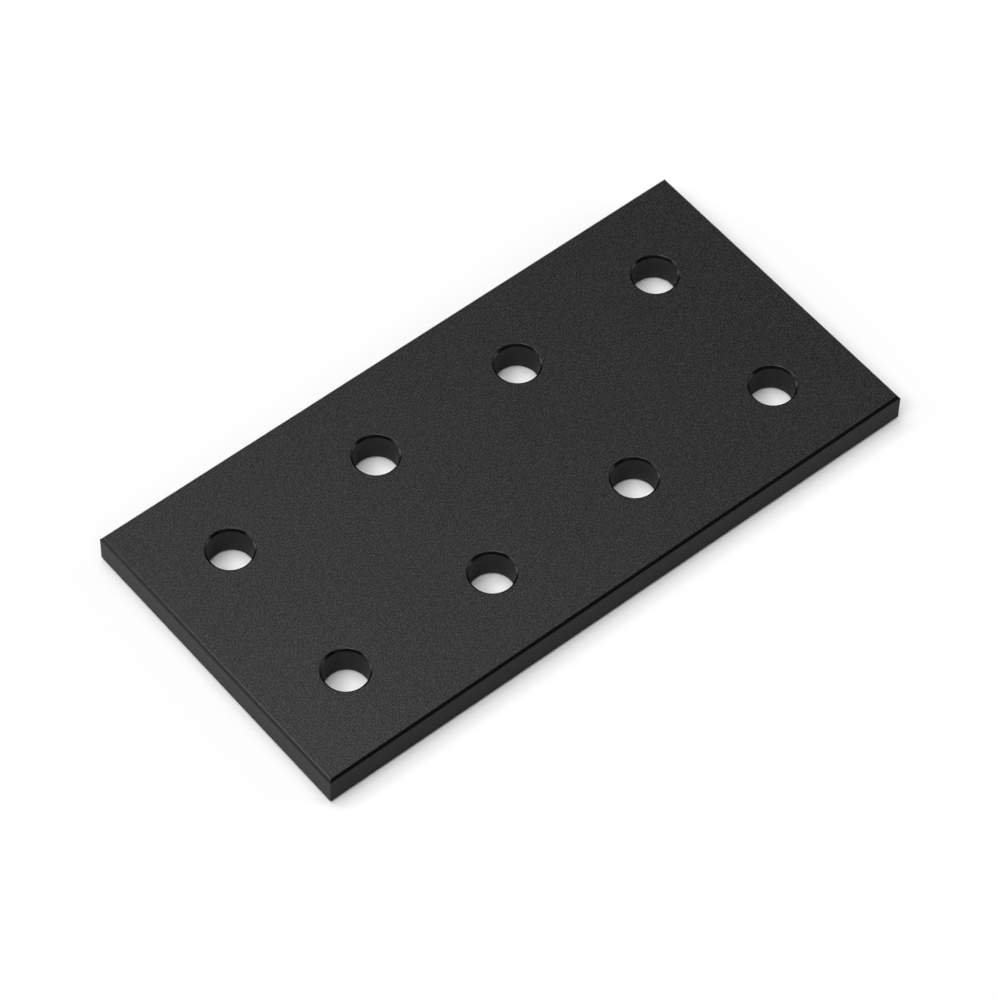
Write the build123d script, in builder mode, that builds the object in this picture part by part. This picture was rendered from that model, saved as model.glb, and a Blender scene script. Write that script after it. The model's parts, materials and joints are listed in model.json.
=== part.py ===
from build123d import *
import os

# Joining plate for slotted aluminium extrusion: a flat rectangular plate with a grid of
# through holes, machined from one piece and deburred round its outline and every hole.
# The origin is the centre of the bottom face. X runs along the plate, Y across it, Z up.

# Driving dimensions, in millimetres
hole_pitch = 20.0  # step of the hole grid, both ways: the module of the extrusion
hole_columns = 4  # holes along the plate
hole_rows = 2  # holes across the plate
edge_margin = 10.0  # from the centre of an outer hole to the edge of the plate
thickness = 4.0
hole_diameter = 5.1  # lets an M5 screw through
outline_chamfer = 0.3  # 45 degree break round the outline of both faces
hole_chamfer = 0.25  # 45 degree break round both mouths of each hole

# The outline that the hole grid and its margin give
length = (hole_columns - 1) * hole_pitch + 2 * edge_margin
width = (hole_rows - 1) * hole_pitch + 2 * edge_margin

with BuildPart() as joining_plate:
    # Blank, cut square
    with BuildSketch(Plane.XY):
        Rectangle(length, width)
    extrude(amount=thickness)

    # Deburred outline: the edges of both flat faces, but not the four upright corners
    flat_faces = joining_plate.faces().filter_by(Axis.Z)
    chamfer(flat_faces.edges(), outline_chamfer)

    # Screw holes, drilled right through
    with GridLocations(hole_pitch, hole_pitch, hole_columns, hole_rows):
        Hole(hole_diameter / 2)

    # Deburred holes: the rims left by the drill on both faces
    hole_rims = joining_plate.edges().filter_by(GeomType.CIRCLE)
    chamfer(hole_rims, hole_chamfer)

joining_plate.part.label = "joining_plate"

os.makedirs("parts", exist_ok=True)
export_step(joining_plate.part, "parts/joining_plate.step")
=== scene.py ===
"""Looks of the extrusion joining plate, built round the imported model.

The plate is one piece of aluminium with a black finish. Its two flat faces are finely blasted,
and its sides, its chamfers and the walls of its holes are smooth. A Geometry Nodes tree makes
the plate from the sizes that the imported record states.
"""

import json
import math

import bpy
from mathutils import Matrix, Vector


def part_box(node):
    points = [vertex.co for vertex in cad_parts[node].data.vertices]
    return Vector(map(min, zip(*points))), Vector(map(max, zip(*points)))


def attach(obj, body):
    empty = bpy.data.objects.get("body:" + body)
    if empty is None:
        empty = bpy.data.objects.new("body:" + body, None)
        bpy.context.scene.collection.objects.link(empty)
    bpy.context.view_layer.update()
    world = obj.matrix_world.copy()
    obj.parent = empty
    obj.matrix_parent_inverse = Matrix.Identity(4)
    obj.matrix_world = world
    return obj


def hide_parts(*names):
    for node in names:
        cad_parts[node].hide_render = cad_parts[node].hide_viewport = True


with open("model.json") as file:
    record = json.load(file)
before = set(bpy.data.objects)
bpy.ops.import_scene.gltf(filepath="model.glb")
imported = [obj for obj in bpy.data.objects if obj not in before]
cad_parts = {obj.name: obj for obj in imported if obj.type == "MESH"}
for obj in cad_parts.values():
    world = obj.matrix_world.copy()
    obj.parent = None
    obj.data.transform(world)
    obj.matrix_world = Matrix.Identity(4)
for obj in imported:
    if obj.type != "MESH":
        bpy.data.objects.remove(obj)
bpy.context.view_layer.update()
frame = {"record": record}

MM = 0.001
NODE = "joining_plate"

WELD_DISTANCE = 0.001 * MM
CREASE_ANGLE = math.radians(15)

# How far a face's normal leans up or down is 0 on an upright wall and 1 on a flat face. It is
# 0.707 on a chamfer and 0.924 on the bevel between a chamfer and a flat face.
UPRIGHT_BELOW = 0.01
RIM_ABOVE = 0.72
FLAT_ABOVE = 0.9999

LAMP_DISTANCE = 2.0
FLOOR_SIZE = 2.0


# ---------------------------------------------------------------- node helpers

def add_node(tree, kind, inputs=(), **settings):
    """Adds a node. inputs maps a socket's name or index to a value or to another node's output."""
    node = tree.nodes.new(kind)
    for name, value in settings.items():
        setattr(node, name, value)
    for key, value in dict(inputs).items():
        if isinstance(value, bpy.types.NodeSocket):
            tree.links.new(value, node.inputs[key])
        else:
            node.inputs[key].default_value = value
    return node


def calc(tree, operation, *values):
    """The result of a Math node."""
    node = add_node(tree, "ShaderNodeMath", dict(enumerate(values)), operation=operation)
    return node.outputs[0]


def point(tree, x, y, z=0.0):
    """A vector from three values or outputs."""
    return add_node(tree, "ShaderNodeCombineXYZ", {0: x, 1: y, 2: z}).outputs[0]


def parts_of(tree, vector):
    """The X, Y and Z outputs of a vector."""
    return add_node(tree, "ShaderNodeSeparateXYZ", {0: vector}).outputs


def vector_math(tree, operation, *values, **inputs):
    """The result of a Vector Math node."""
    sockets = dict(enumerate(values), **inputs)
    return add_node(tree, "ShaderNodeVectorMath", sockets, operation=operation).outputs["Vector"]


def vector_mix(tree, share, first, second):
    """A blend of two vectors, with the given share of the second."""
    node = add_node(tree, "ShaderNodeMix", {0: share, 4: first, 5: second}, data_type="VECTOR")
    return node.outputs[1]


def noise(tree, place, scale, detail):
    """The outputs of a Noise Texture."""
    return add_node(tree, "ShaderNodeTexNoise", {
        "Vector": place, "Scale": scale, "Detail": detail, "Roughness": 0.5}).outputs


def add_sockets(tree, inputs, outputs):
    """Names a group's sockets, as (name, socket type) pairs, and adds its two end nodes."""
    for name, kind in inputs:
        tree.interface.new_socket(name, in_out="INPUT", socket_type=kind)
    for name, kind in outputs:
        tree.interface.new_socket(name, in_out="OUTPUT", socket_type=kind)
    return tree.nodes.new("NodeGroupInput").outputs, tree.nodes.new("NodeGroupOutput").inputs


# ---------------------------------------------------------------- sizes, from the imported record

def plate_sizes():
    """The plate's sizes in metres.

    Its box and its stated holes give them, but for the outline's chamfer and the fine bevels,
    which the record doesn't state.
    """
    low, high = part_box(NODE)
    bores = [mount for mount in frame["record"]["mounts"] if mount["kind"] == "bore"]
    columns = sorted({bore["pos_m"][0] for bore in bores})
    rows = sorted({bore["pos_m"][1] for bore in bores})
    thickness = high.z - low.z
    bore_wall = bores[0]["dims"]["length_mm"] * MM
    return {
        "Length": high.x - low.x,
        "Width": high.y - low.y,
        "Thickness": thickness,
        "Hole Pitch": columns[1] - columns[0],
        "Hole Columns": len(columns),
        "Hole Rows": len(rows),
        "Hole Radius": bores[0]["dims"]["r_mm"] * MM,
        "Hole Chamfer": (thickness - bore_wall) / 2,
        "Outline Chamfer": 0.3 * MM,
        "Outline Bevel": 0.14 * MM,
        "Hole Bevel": 0.08 * MM,
        "Hole Segments": 96,
    }


# ---------------------------------------------------------------- the plate's Geometry Nodes

def edge_section_group():
    """The section of a chamfered wall: X goes into the metal, Y down from the top face.

    Each chamfer has a fine bevel at both of its corners. The section starts and ends with a
    short lip on the flat faces, so that the bevel has room and the faces meet it in their plane.
    """
    tree = bpy.data.node_groups.new("Chamfered wall section", "GeometryNodeTree")
    given, result = add_sockets(tree, [
        ("Thickness", "NodeSocketFloat"),
        ("Chamfer", "NodeSocketFloat"),
        ("Lip", "NodeSocketFloat"),
        ("Bevel", "NodeSocketFloat"),
    ], [("Section", "NodeSocketGeometry")])
    lip_end = calc(tree, "ADD", given["Chamfer"], given["Lip"])
    shoulder = calc(tree, "SUBTRACT", given["Thickness"], given["Chamfer"])
    corners = [
        point(tree, lip_end, 0.0),
        point(tree, given["Chamfer"], 0.0),
        point(tree, 0.0, given["Chamfer"]),
        point(tree, 0.0, shoulder),
        point(tree, given["Chamfer"], given["Thickness"]),
        point(tree, lip_end, given["Thickness"]),
    ]
    choose = tree.nodes.new("GeometryNodeIndexSwitch")
    choose.data_type = "VECTOR"
    while len(choose.index_switch_items) < len(corners):
        choose.index_switch_items.new()
    tree.links.new(tree.nodes.new("GeometryNodeInputIndex").outputs[0], choose.inputs["Index"])
    for number, corner in enumerate(corners):
        tree.links.new(corner, choose.inputs[number + 1])
    line = add_node(tree, "GeometryNodeCurvePrimitiveLine").outputs[0]
    points = add_node(tree, "GeometryNodeResampleCurve", {"Curve": line, "Count": len(corners)})
    bent = add_node(tree, "GeometryNodeSetPosition", {
        "Geometry": points.outputs[0], "Position": choose.outputs[0]})
    bevelled = add_node(tree, "GeometryNodeFilletCurve", {
        "Curve": bent.outputs[0], "Count": 1, "Radius": given["Bevel"], "Limit Radius": True,
    }, mode="POLY")
    tree.links.new(bevelled.outputs[0], result["Section"])
    return tree


def plate_group(sizes, finishes):
    """The tree that makes the whole plate from its named sizes and finishes."""
    tree = bpy.data.node_groups.new("Joining plate", "GeometryNodeTree")
    kinds = {float: "NodeSocketFloat", int: "NodeSocketInt"}
    sockets = [(name, kinds[type(value)]) for name, value in sizes.items()]
    sockets += [(name, "NodeSocketMaterial") for name in finishes]
    given, result = add_sockets(tree, sockets, [("Plate", "NodeSocketGeometry")])
    section = edge_section_group()

    def lip(edge):
        return calc(tree, "MULTIPLY", given[edge + " Bevel"], 2.0)

    def inset(edge):
        return calc(tree, "ADD", given[edge + " Chamfer"], lip(edge))

    def wall_section(edge):
        return add_node(tree, "GeometryNodeGroup", {
            "Thickness": given["Thickness"], "Chamfer": given[edge + " Chamfer"],
            "Lip": lip(edge), "Bevel": given[edge + " Bevel"],
        }, node_tree=section).outputs[0]

    def sweep(path, profile):
        upright = add_node(tree, "GeometryNodeSetCurveNormal", {"Curve": path}, mode="Z_UP")
        return add_node(tree, "GeometryNodeCurveToMesh", {
            "Curve": upright.outputs[0], "Profile Curve": profile}).outputs[0]

    def joined(*geometries):
        node = add_node(tree, "GeometryNodeJoinGeometry")
        for geometry in geometries:
            tree.links.new(geometry, node.inputs[0])
        return node.outputs[0]

    def spread(count):
        return calc(tree, "MULTIPLY", calc(tree, "SUBTRACT", count, 1), given["Hole Pitch"])

    centres = add_node(tree, "GeometryNodeMeshGrid", {
        "Size X": spread(given["Hole Columns"]), "Size Y": spread(given["Hole Rows"]),
        "Vertices X": given["Hole Columns"], "Vertices Y": given["Hole Rows"],
    }).outputs["Mesh"]

    def at_each_hole(geometry):
        placed = add_node(tree, "GeometryNodeInstanceOnPoints", {
            "Points": centres, "Instance": geometry})
        return add_node(tree, "GeometryNodeRealizeInstances", {
            "Geometry": placed.outputs[0]}).outputs[0]

    def circle(radius):
        return add_node(tree, "GeometryNodeCurvePrimitiveCircle", {
            "Resolution": given["Hole Segments"], "Radius": radius}).outputs[0]

    def rectangle(margin):
        both_margins = calc(tree, "MULTIPLY", margin, 2.0)
        return add_node(tree, "GeometryNodeCurvePrimitiveQuadrilateral", {
            "Width": calc(tree, "SUBTRACT", given["Length"], both_margins),
            "Height": calc(tree, "SUBTRACT", given["Width"], both_margins),
        }).outputs[0]

    def turned_over(mesh):
        return add_node(tree, "GeometryNodeFlipFaces", {"Mesh": mesh}).outputs[0]

    def lifted(mesh):
        return add_node(tree, "GeometryNodeTransform", {
            "Geometry": mesh, "Translation": point(tree, 0.0, 0.0, given["Thickness"]),
        }).outputs[0]

    # Walls of the holes and of the outline, each a section swept round its path. The outline's
    # section is drawn inwards, and stretched for the mitres of its square corners.
    hole_wall = sweep(circle(given["Hole Radius"]), wall_section("Hole"))
    hole_walls = at_each_hole(turned_over(hole_wall))
    mitred = add_node(tree, "GeometryNodeTransform", {
        "Geometry": wall_section("Outline"), "Scale": (-math.sqrt(2), 1.0, 1.0)})
    outline_wall = sweep(rectangle(0.0), mitred.outputs[0])

    # The two flat faces, each filled between the outline's lip and the holes' lips
    hole_rims = at_each_hole(circle(calc(tree, "ADD", given["Hole Radius"], inset("Hole"))))
    sheet = add_node(tree, "GeometryNodeFillCurve", {
        "Curve": joined(rectangle(inset("Outline")), hole_rims)}, mode="TRIANGLES").outputs[0]

    # Everything welded into one closed shell
    shell = add_node(tree, "GeometryNodeMergeByDistance", {
        "Geometry": joined(lifted(hole_walls), lifted(outline_wall), lifted(sheet),
                           turned_over(sheet)),
        "Distance": WELD_DISTANCE,
    }).outputs[0]

    # Smooth round the holes, with every bevel, chamfer and corner left crisp
    smooth = add_node(tree, "GeometryNodeSetShadeSmooth", {
        "Geometry": shell, "Shade Smooth": True}, domain="FACE").outputs[0]
    angle = add_node(tree, "GeometryNodeInputMeshEdgeAngle").outputs["Unsigned Angle"]
    creased = add_node(tree, "GeometryNodeSetShadeSmooth", {
        "Geometry": smooth, "Selection": calc(tree, "GREATER_THAN", angle, CREASE_ANGLE),
        "Shade Smooth": False}, domain="EDGE").outputs[0]

    def depth_inside(position, size):
        half = calc(tree, "MULTIPLY", size, 0.5)
        return calc(tree, "SUBTRACT", half, calc(tree, "ABSOLUTE", position))

    # Finishes by slope and place. The chamfers' goes on all over, and each of the others then
    # replaces it on its own faces.
    normal = parts_of(tree, tree.nodes.new("GeometryNodeInputNormal").outputs[0])
    slope = calc(tree, "ABSOLUTE", normal["Z"])
    place = parts_of(tree, tree.nodes.new("GeometryNodeInputPosition").outputs[0])
    inside = calc(tree, "MINIMUM", depth_inside(place["X"], given["Length"]),
                  depth_inside(place["Y"], given["Width"]))
    upright = calc(tree, "LESS_THAN", slope, UPRIGHT_BELOW)
    well_inside = calc(tree, "GREATER_THAN", inside, given["Hole Radius"])
    mesh = add_node(tree, "GeometryNodeRealizeInstances", {"Geometry": creased}).outputs[0]
    for finish, chosen in (
        ("Chamfer Finish", True),
        ("Rim Finish", calc(tree, "GREATER_THAN", slope, RIM_ABOVE)),
        ("Wall Finish", upright),
        ("Bore Finish", calc(tree, "MULTIPLY", upright, well_inside)),
        ("Face Finish", calc(tree, "GREATER_THAN", slope, FLAT_ABOVE)),
    ):
        mesh = add_node(tree, "GeometryNodeSetMaterial", {
            "Geometry": mesh, "Selection": chosen, "Material": given[finish]}).outputs[0]
    tree.links.new(mesh, result["Plate"])
    return tree


def make_plate(finishes):
    """Runs the tree on an empty mesh and keeps its result as a plain mesh."""
    sizes = plate_sizes()
    tree = plate_group(sizes, finishes)
    seed = bpy.data.objects.new("plate_seed", bpy.data.meshes.new("plate_seed"))
    bpy.context.scene.collection.objects.link(seed)
    nodes = seed.modifiers.new("Plate", "NODES")
    nodes.node_group = tree
    values = {**sizes, **finishes}
    for socket in tree.interface.items_tree:
        if socket.in_out == "INPUT":
            nodes[socket.identifier] = values[socket.name]
    weighted = seed.modifiers.new("Even shading", "WEIGHTED_NORMAL")
    weighted.keep_sharp = True
    bpy.context.view_layer.update()
    evaluated = seed.evaluated_get(bpy.context.evaluated_depsgraph_get())
    mesh = bpy.data.meshes.new_from_object(evaluated)
    mesh.name = "plate_body"
    bpy.data.objects.remove(seed)
    # The empty mesh can leave a first slot with no material in it
    if mesh.materials[0] is None:
        mesh.materials.pop(index=0)
    plate = bpy.data.objects.new("plate_body", mesh)
    bpy.context.scene.collection.objects.link(plate)
    return plate


# ---------------------------------------------------------------- finishes

def surface_grain_group():
    """Grain for every finish: a height for the bump, and slight changes of colour and gloss.

    Grain Size is the size of a grain along X, Y and Z. Equal sizes make the dents of fine
    blasting, and a small Z size makes the level lines that a cutter or a drill leaves.
    """
    speck_shift = (31.7, 12.9, 47.0)  # in grains, so that specks and dents don't coincide
    hue_share = 0.15
    patch_share = 0.13
    patch_scale = 0.3
    cloud_size = 6 * MM
    middle = 0.5

    tree = bpy.data.node_groups.new("Surface grain", "ShaderNodeTree")
    given, result = add_sockets(tree, [
        ("Coordinates", "NodeSocketVector"),
        ("Grain Size", "NodeSocketVector"),
        ("Dents", "NodeSocketFloat"),
        ("Colour", "NodeSocketColor"),
        ("Colour Change", "NodeSocketFloat"),
        ("Roughness", "NodeSocketFloat"),
        ("Roughness Change", "NodeSocketFloat"),
    ], [
        ("Height", "NodeSocketFloat"),
        ("Colour", "NodeSocketColor"),
        ("Roughness", "NodeSocketFloat"),
    ])
    grains = vector_math(tree, "DIVIDE", given["Coordinates"], given["Grain Size"])
    waves = noise(tree, grains, 1.0, 1.0)["Fac"]
    dents = add_node(tree, "ShaderNodeTexVoronoi", {
        "Vector": grains, "Scale": 1.0, "Randomness": 1.0}, feature="F1").outputs["Distance"]
    height = add_node(tree, "ShaderNodeMix", {
        0: given["Dents"], 2: waves, 3: dents}, data_type="FLOAT").outputs[0]
    tree.links.new(height, result["Height"])

    # Specks of the dye, mostly lighter or darker and a little warmer or cooler, in faint patches
    specks = noise(tree, vector_math(tree, "ADD", grains, speck_shift), 1.0, 0.0)
    hues = vector_mix(tree, hue_share, specks["Fac"], specks["Color"])
    mottle = vector_mix(tree, patch_share, hues, noise(tree, grains, patch_scale, 0.0)["Fac"])
    change = vector_math(tree, "SCALE", vector_math(tree, "SUBTRACT", mottle, (middle,) * 3),
                         Scale=given["Colour Change"])
    factor = vector_math(tree, "ADD", change, (1.0, 1.0, 1.0))
    factor = vector_math(tree, "MAXIMUM", factor, (0.0, 0.0, 0.0))
    tree.links.new(vector_math(tree, "MULTIPLY", given["Colour"], factor), result["Colour"])

    # Handling and dye leave slow, faint clouds a few millimetres across
    clouds = noise(tree, given["Coordinates"], 1.0 / cloud_size, 2.0)["Fac"]
    drift = calc(tree, "MULTIPLY", calc(tree, "SUBTRACT", clouds, middle),
                 given["Roughness Change"])
    tree.links.new(calc(tree, "ADD", given["Roughness"], drift), result["Roughness"])
    return tree


def anodised_finish(name, grain, values, bump, specular):
    """Black anodised aluminium with its own grain. bump is the height of the grain in metres."""
    material = bpy.data.materials.new(name)
    material.use_nodes = True
    tree = material.node_tree
    shader = tree.nodes["Principled BSDF"]
    place = tree.nodes.new("ShaderNodeTexCoord").outputs["Object"]
    surface = add_node(tree, "ShaderNodeGroup", dict(values, Coordinates=place), node_tree=grain)
    relief = add_node(tree, "ShaderNodeBump", {
        "Strength": 1.0, "Distance": bump, "Height": surface.outputs["Height"]})
    tree.links.new(surface.outputs["Colour"], shader.inputs["Base Color"])
    tree.links.new(surface.outputs["Roughness"], shader.inputs["Roughness"])
    tree.links.new(relief.outputs["Normal"], shader.inputs["Normal"])
    shader.inputs["Specular IOR Level"].default_value = specular
    return material


def blasted_finish(name, grain):
    """The flat faces: dull, with the dents and specks of fine blasting.

    A whole number of grains fits the plate's thickness, so that both faces cut them alike.
    """
    grains_through = 24
    grain_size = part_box(NODE)[1].z / grains_through
    return anodised_finish(name, grain, {
        "Grain Size": (grain_size,) * 3, "Dents": 0.8,
        "Colour": (0.016, 0.016, 0.0159, 1.0), "Colour Change": 7.7,
        "Roughness": 0.32, "Roughness Change": 0.05,
    }, bump=0.008 * MM, specular=0.4)


def machined_finish(name, grain, colour, change, roughness, drift, specular):
    """A smooth wall or chamfer, with the fine level lines that its tool leaves."""
    line_length = 1.6 * MM
    line_height = 0.05 * MM
    return anodised_finish(name, grain, {
        "Grain Size": (line_length, line_length, line_height), "Dents": 0.0,
        "Colour": (*colour, 1.0), "Colour Change": change,
        "Roughness": roughness, "Roughness Change": drift,
    }, bump=0.0004 * MM, specular=specular)


surface_grain = surface_grain_group()
plate = make_plate({
    "Face Finish": blasted_finish("blasted_black", surface_grain),
    "Wall Finish": machined_finish(
        "cut_black", surface_grain, colour=(0.01, 0.01, 0.0101), change=1.0,
        roughness=0.14, drift=0.04, specular=0.03),
    "Bore Finish": machined_finish(
        "drilled_black", surface_grain, colour=(0.044, 0.044, 0.0443), change=0.2,
        roughness=0.4, drift=0.03, specular=0.01),
    "Chamfer Finish": machined_finish(
        "chamfered_black", surface_grain, colour=(0.0025, 0.0025, 0.0025), change=0.3,
        roughness=0.24, drift=0.03, specular=0.19),
    "Rim Finish": machined_finish(
        "rubbed_black", surface_grain, colour=(0.006, 0.006, 0.0061), change=0.3,
        roughness=0.22, drift=0.05, specular=0.38),
})
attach(plate, "root")
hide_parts(NODE)


# ---------------------------------------------------------------- stage, lights and camera

def direction(azimuth, elevation):
    """The way towards an azimuth, counted from +X towards +Y, and an elevation, in degrees."""
    turn, lift = math.radians(azimuth), math.radians(elevation)
    across = math.cos(lift)
    return Vector((across * math.cos(turn), across * math.sin(turn), math.sin(lift)))


def make_floor():
    """A plain white floor that ends inside the ring of lamps."""
    bpy.ops.mesh.primitive_plane_add(size=FLOOR_SIZE)
    floor = bpy.context.object
    floor.name = "floor"
    material = bpy.data.materials.new("floor_white")
    material.use_nodes = True
    shader = material.node_tree.nodes["Principled BSDF"]
    shader.inputs["Base Color"].default_value = (0.97, 0.97, 0.97, 1.0)
    shader.inputs["Roughness"].default_value = 1.0
    shader.inputs["Specular IOR Level"].default_value = 0.0
    floor.data.materials.append(material)


def make_world(horizon, sky, white_below, dim_above):
    """A dim room with a pale horizon, whose strength fades between two elevations in degrees."""
    world = bpy.data.worlds.new("studio")
    world.use_nodes = True
    tree = world.node_tree
    outlook = parts_of(tree, tree.nodes.new("ShaderNodeTexCoord").outputs["Generated"])
    fade = add_node(tree, "ShaderNodeMapRange", {
        "Value": outlook["Z"],
        "From Min": math.sin(math.radians(white_below)),
        "From Max": math.sin(math.radians(dim_above)),
        "To Min": horizon, "To Max": sky,
    }, interpolation_type="SMOOTHSTEP")
    light = tree.nodes["Background"]
    light.inputs["Color"].default_value = (1.0, 1.0, 1.0, 1.0)
    tree.links.new(fade.outputs["Result"], light.inputs["Strength"])
    bpy.context.scene.world = world


def make_lamp(name, azimuth, elevation, half_width, half_height, brightness):
    """A softbox that faces the plate.

    The half sizes are the angles that it fills, in degrees. brightness is its own radiance,
    where a white surface in full light has 1.
    """
    lamp = bpy.data.lights.new(name, "AREA")
    lamp.shape = "RECTANGLE"
    lamp.size = 2 * LAMP_DISTANCE * math.tan(math.radians(half_width))
    lamp.size_y = 2 * LAMP_DISTANCE * math.tan(math.radians(half_height))
    lamp.energy = brightness * math.pi * lamp.size * lamp.size_y
    away = direction(azimuth, elevation)
    softbox = bpy.data.objects.new(name, lamp)
    facing = away.to_track_quat("Z", "Y").to_matrix().to_4x4()
    softbox.matrix_world = Matrix.Translation(away * LAMP_DISTANCE) @ facing
    softbox.visible_camera = False
    bpy.context.scene.collection.objects.link(softbox)


def make_camera(aim, azimuth, elevation, roll, distance, lens):
    """A camera that looks at aim from a direction in degrees and a distance, turned by roll."""
    back = direction(azimuth, elevation)
    camera = bpy.data.objects.new("camera", bpy.data.cameras.new("camera"))
    camera.data.lens = lens
    camera.data.sensor_width = 36.0
    camera.data.clip_start, camera.data.clip_end = 0.01, 20.0
    level = (-back).to_track_quat("-Z", "Y").to_matrix()
    turned = level @ Matrix.Rotation(math.radians(roll), 3, "Z")
    camera.matrix_world = Matrix.Translation(Vector(aim) + back * distance) @ turned.to_4x4()
    bpy.context.scene.collection.objects.link(camera)
    bpy.context.scene.camera = camera


make_floor()
make_world(horizon=1.0, sky=0.02, white_below=4, dim_above=10)

# Each lamp's name, azimuth, elevation, half width, half height and brightness
for softbox in (
    ("overhead", 49, 80, 15, 10, 3.70),
    ("overhead_front", 229, 72, 14, 8, 5.49),
    ("overhead_left", 140, 78, 12, 7, 3.18),
    ("upper_front", 184, 54, 13, 7, 7.32),
    ("upper_left", 126, 58, 8, 5, 5.61),
    ("upper_rear", 65, 64, 10, 6, 0.82),
    ("upper_rear_left", 86, 64, 12, 7, 2.35),
    ("rear_strip", 120, 8, 15, 5, 4.50),
    ("left_strip", 150, 20, 15, 6, 2.67),
    ("right_box", 335, 22, 15, 10, 3.34),
    ("front_strip", 255, 20, 15, 6, 3.31),
):
    make_lamp(*softbox)
make_camera(aim=(-3.299 * MM, -3.145 * MM, 4.0 * MM), azimuth=229.405, elevation=54.375,
            roll=1.441, distance=523.3 * MM, lens=173.96)
bpy.context.scene.view_settings.view_transform = "Standard"
